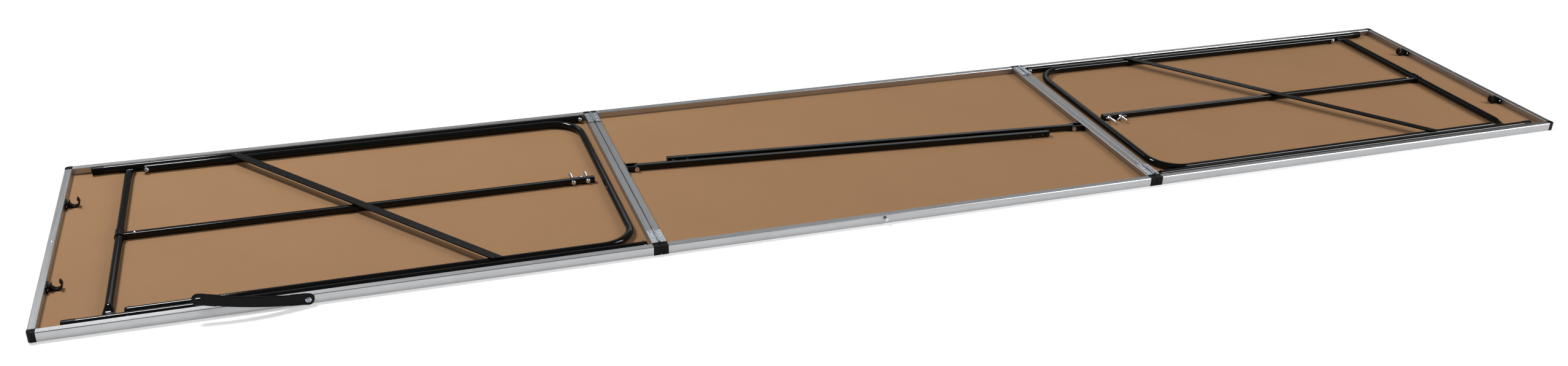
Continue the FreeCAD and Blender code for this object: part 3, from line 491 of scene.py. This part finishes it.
def coach_bolt(place, axis):
    """Dome like a rivet's on a shank with the thread r = shank - depth |saw(h / pitch - angle)|."""
    angle = np.arange(24) / 24
    turn = np.linspace(0, np.pi / 2, 8)
    head = np.tile((HEAD_REACH * np.sin(turn))[:, None], 24)
    head_height = np.tile((HEAD_RISE * np.cos(turn))[:, None], 24)
    run = np.linspace(0, 1, int(BOLT_LENGTH / PITCH * 6))[:, None]
    saw = np.abs(2 * ((run * BOLT_LENGTH / PITCH - angle) % 1) - 1)
    thread = (SHANK - THREAD_DEPTH * saw) * np.minimum(1, TIP_SHARE + (1 - run) * TIP_SLOPE)
    tip = np.zeros((1, 24))
    return turned(np.vstack((head, thread, tip)),
                  np.vstack((head_height, np.tile(-BOLT_LENGTH * run, 24), tip - BOLT_LENGTH)), place, axis)


# The wing nut's size in metres, then its hub and ears in shares of the hub's radius and the rise.
HUB, NUT_RISE, NUT_SPAN = 0.005, 0.0095, 0.024
HUB_TOP, HUB_SHOULDER, HUB_RISE = 0.74, 0.35, 0.55
EAR_ROOT, EAR_FOOT, EAR_LIFT, EAR_CURVE = 0.45, 0.28, 0.45, 1.3
EAR_BROAD, EAR_FLARE, EAR_THIN, EAR_TAPER, EAR_TIP = 0.26, 0.06, 0.15, 1.4, 0.5


def wing_nut(place, axis, spread):
    """Coned hub, and two ears whose oval section shrinks to nothing at a round tip."""
    axis, spread = np.array(axis, float), np.array(spread, float)
    thick = np.cross(axis, spread)
    cone = lathe((0, HUB, HUB, HUB_TOP * HUB, 0),
                 np.array((0, 0, HUB_SHOULDER, 1, 1)) * HUB_RISE * NUT_RISE, place, axis, 24)
    step = np.linspace(0, 1, 15)[:, None]
    angle = np.arange(20) * np.pi / 10
    round_off = np.sqrt(np.clip(1 - np.clip((step - EAR_TIP) / EAR_TIP, 0, 1) ** 2, 0, 1))
    root = EAR_ROOT * HUB
    broad = (EAR_BROAD + EAR_FLARE * step) * NUT_RISE * round_off
    thin = EAR_THIN * HUB * (1 + EAR_TAPER * (1 - step)) * round_off
    ears = []
    for side in (1, -1):
        centre = (np.array(place) + side * spread * (root + step * (NUT_SPAN / 2 - root))
                  + axis * NUT_RISE * (EAR_FOOT + EAR_LIFT * step ** EAR_CURVE))
        ear = (centre[:, None, :] + (broad * np.cos(angle))[..., None] * axis
               + (thin * np.sin(angle))[..., None] * thick)
        ears.append(np.concatenate((ear[:1].mean(1, keepdims=True).repeat(20, 1), ear)))
    return [cone] + ears


BOLT_X, HEAD_Y, NUT_Y = (-0.595, -0.567), -0.006, 0.006
NUT_LEAN = (math.radians(15), -math.radians(15))
for end in ENDS:
    front = TURN[end] * (0, -1, 0)
    bolts = skin(f"{end}_coach_bolts", [coach_bolt(TURN[end] * (x, HEAD_Y, BOLT_Z), front) for x in BOLT_X],
                 bright_screw, f"{end}_strut", sharp=30)
    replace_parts(bolts, f"{end}_strut_bolts")
    nuts = skin(f"{end}_cast_wing_nuts", [grid for x, lean in zip(BOLT_X, NUT_LEAN) for grid in wing_nut(
        TURN[end] * (x, NUT_Y, BOLT_Z), -front, (math.cos(lean), 0, math.sin(lean)))],
        bright_screw, f"{end}_strut", sharp=50)
    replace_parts(nuts, f"{end}_wing_nuts")

# Carry handle: a bowed strap of black moulded plastic with broad ends, on one screw.
# Its free end has an eye for the stud on the middle section; all its edges are rounded.
HANDLE_X, HANDLE_Z, EYE_S, STRAP_INNER = -1.088, 0.010, 0.16503, -0.3003
STRAP_BOW, STRAP_THICK, STRAP_TILT = 0.0079, 0.0032, math.radians(9.8)
END_ROUND, END_WIDE, END_LONG, END_FULL = 0.0098, 0.0104, 0.026, 0.9
STRAP_WIDE, STRAP_SHIFT, NECK_LONG, BOW_INSET = 0.0096, 0.0007, 0.003, 0.006
SCREW_HOLE, SCREW_SEAT, EYE_HOLE, STRAP_EDGE = 0.00255, -0.3040, 0.004, 0.0010
bow_half = EYE_S / 2 - BOW_INSET
bow_radius = (bow_half ** 2 + STRAP_BOW ** 2) / (2 * STRAP_BOW)


def strap_surface(along, across):
    """Flat pattern onto the strap: y follows a circle between the ends, then all tilts about the screw."""
    along, across = np.broadcast_arrays(along, across)
    off = np.clip(np.abs(along - EYE_S / 2), 0, bow_half)
    out = np.sqrt(bow_radius ** 2 - off ** 2) - (bow_radius - STRAP_BOW)
    x = -along * math.cos(STRAP_TILT) + across * math.sin(STRAP_TILT)
    z = along * math.sin(STRAP_TILT) + across * math.cos(STRAP_TILT)
    return np.stack((x + HANDLE_X, STRAP_INNER - STRAP_THICK / 2 - out, z + HANDLE_Z), -1)


def centre_line(along):
    """The strap's middle runs straight from just above the screw to just below the eye."""
    return STRAP_SHIFT * (1 - 2 * along / EYE_S)


def strap_end(centre, side, hole):
    """Sheet round a hole: rays from the hole's edge to a round end with a straight cut to the strap."""
    cut = np.linspace(-1, 1, 9)
    bend = np.linspace(-np.pi / 2, np.pi / 2, 25)[1:-1]
    level = np.linspace(0, 1, 5)[1:-1]
    along = np.concatenate((np.full(9, -END_LONG), -END_LONG * (1 - level),
                            END_ROUND * np.cos(bend)[::-1] ** END_FULL, -END_LONG * level))
    across = np.concatenate((cut, np.ones(3), np.sin(bend)[::-1], -np.ones(3))) * END_WIDE
    across = across + centre_line(centre + side * along)
    ray = np.arctan2(across, along)
    step = np.linspace(0, 1, 5)[:, None]
    return strap_surface(centre + side * ((1 - step) * hole * np.cos(ray) + step * along),
                         (1 - step) * hole * np.sin(ray) + step * across)


strap_along = np.linspace(END_LONG, EYE_S - END_LONG, 33)[:, None]
neck = np.minimum(strap_along - END_LONG, EYE_S - END_LONG - strap_along)
strap_half = END_WIDE + (STRAP_WIDE - END_WIDE) * ease(neck / NECK_LONG)
strap_middle = strap_surface(strap_along, np.linspace(-1, 1, 9) * strap_half + centre_line(strap_along))
handle = skin("strap_handle", [strap_end(0, -1, SCREW_HOLE), strap_end(EYE_S, 1, EYE_HOLE)], black_plastic,
              "handle", sheets=[strap_middle])
wall = handle.modifiers.new("wall", "SOLIDIFY")
wall.thickness, wall.offset = STRAP_THICK, 0
edges = handle.modifiers.new("edges", "BEVEL")
edges.width, edges.segments, edges.limit_method, edges.angle_limit = STRAP_EDGE, 3, "ANGLE", math.radians(50)
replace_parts(handle, "carry_handle")
handle_head = cross_head((HANDLE_X, SCREW_SEAT, HANDLE_Z), (0, -1, 0), reach=0.005, rise=0.0024, foot=0.005)
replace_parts(skin("domed_handle_screw", [handle_head], zinc_plate, "left_section"), "handle_screw")

# Floor and light: a plain pale floor in a dim white room, a softbox above each end and pale panels behind.
# For the camera and in reflections the floor is lifted towards white, and keeps the table's shadow.
FLOOR_REACH, FLOOR_TONE, FLOOR_LIFT, ROOM_LIGHT = 60.0, 0.70, 0.44, 0.16
floor_mesh = bpy.data.meshes.new("floor")
floor_corners = [(x * FLOOR_REACH, y * FLOOR_REACH, 0) for x, y in ((-1, -1), (1, -1), (1, 1), (-1, 1))]
floor_mesh.from_pydata(floor_corners, [], [(0, 1, 2, 3)])
floor = bpy.data.objects.new("floor", floor_mesh)
scene.collection.objects.link(floor)
floor_paint = shader("floor_paint", (FLOOR_TONE, FLOOR_TONE, FLOOR_TONE), 0, 0.9,
                     Specular_IOR_Level=0.0, Emission_Color=(1, 1, 1, 1))
light_path = floor_paint.node_tree.nodes.new("ShaderNodeLightPath")
seen = floor_paint.node_tree.nodes.new("ShaderNodeMath")
seen.operation = "MAXIMUM"
lift = floor_paint.node_tree.nodes.new("ShaderNodeMath")
lift.operation = "MULTIPLY"
lift.inputs[1].default_value = FLOOR_LIFT
floor_paint.node_tree.links.new(light_path.outputs["Is Camera Ray"], seen.inputs[0])
floor_paint.node_tree.links.new(light_path.outputs["Is Glossy Ray"], seen.inputs[1])
floor_paint.node_tree.links.new(seen.outputs["Value"], lift.inputs[0])
feed(floor_paint, "Emission Strength", lift.outputs["Value"])
floor_mesh.materials.append(floor_paint)

world = bpy.data.worlds.new("white_room")
scene.world = world
world.use_nodes = True
world.node_tree.nodes["Background"].inputs["Color"].default_value = (1, 1, 1, 1)
world.node_tree.nodes["Background"].inputs["Strength"].default_value = ROOM_LIGHT


def standing(right, above, back, place):
    """Matrix of an object with these three axes at a place."""
    axes = np.column_stack((right, above, back))
    return Matrix([(*row, at) for row, at in zip(axes, place)] + [(0, 0, 0, 1)])


def lamp(name, place, aim, size, power):
    """Rectangular soft lamp at a place, turned to face a point."""
    light = bpy.data.lights.new(name, "AREA")
    light.shape = "RECTANGLE"
    light.size, light.size_y = size
    light.energy = power
    lamp_object = bpy.data.objects.new(name, light)
    scene.collection.objects.link(lamp_object)
    back = np.array(place, float) - np.array(aim, float)
    back /= np.linalg.norm(back)
    side = np.cross((0, 1, 0.001), back)
    side /= np.linalg.norm(side)
    lamp_object.matrix_world = standing(side, np.cross(back, side), back, place)


lamp("left_softbox", (-1.9, 1.2, 3.0), aim=(-0.6, 0, 0), size=(0.9, 0.65), power=100)
lamp("right_softbox", (3.3, -1.6, 2.8), aim=(0.6, 0, 0), size=(2.4, 0.9), power=104)
lamp("back_panel", (1.05, 3.5, 2.2), aim=(0.8, 0, 0), size=(5.9, 1.0), power=14.5)
lamp("back_corner_panel", (-1.95, 3.5, 2.55), aim=(-1.4, 0, 0), size=(0.8, 0.7), power=2.5)

# Camera: where the photograph was taken from, worked out from the table's long edges.
# Focal length is in pixels of the 2556 pixel wide picture.
AZIMUTH, ELEVATION, ROLL = np.radians((19.93, 26.76, 2.01))
CAMERA_PLACE = (-1.0324, -2.3835, 1.2278)
SENSOR, FOCAL_PIXELS, PHOTO_PIXELS = 36, 2297.8, 2556
level = np.array((np.cos(AZIMUTH), -np.sin(AZIMUTH), 0))
ahead = np.array((np.sin(AZIMUTH) * np.cos(ELEVATION), np.cos(AZIMUTH) * np.cos(ELEVATION),
                  -np.sin(ELEVATION)))
upright = np.cross(level, ahead)
right = np.cos(ROLL) * level + np.sin(ROLL) * upright
above = np.cos(ROLL) * upright - np.sin(ROLL) * level
lens = bpy.data.cameras.new("camera")
lens.sensor_fit = "HORIZONTAL"
lens.sensor_width = SENSOR
lens.lens = SENSOR * FOCAL_PIXELS / PHOTO_PIXELS
lens.clip_end = 50
camera = bpy.data.objects.new("camera", lens)
scene.collection.objects.link(camera)
camera.matrix_world = standing(right, above, -ahead, CAMERA_PLACE)
scene.camera = camera
scene.view_settings.view_transform = "Standard"
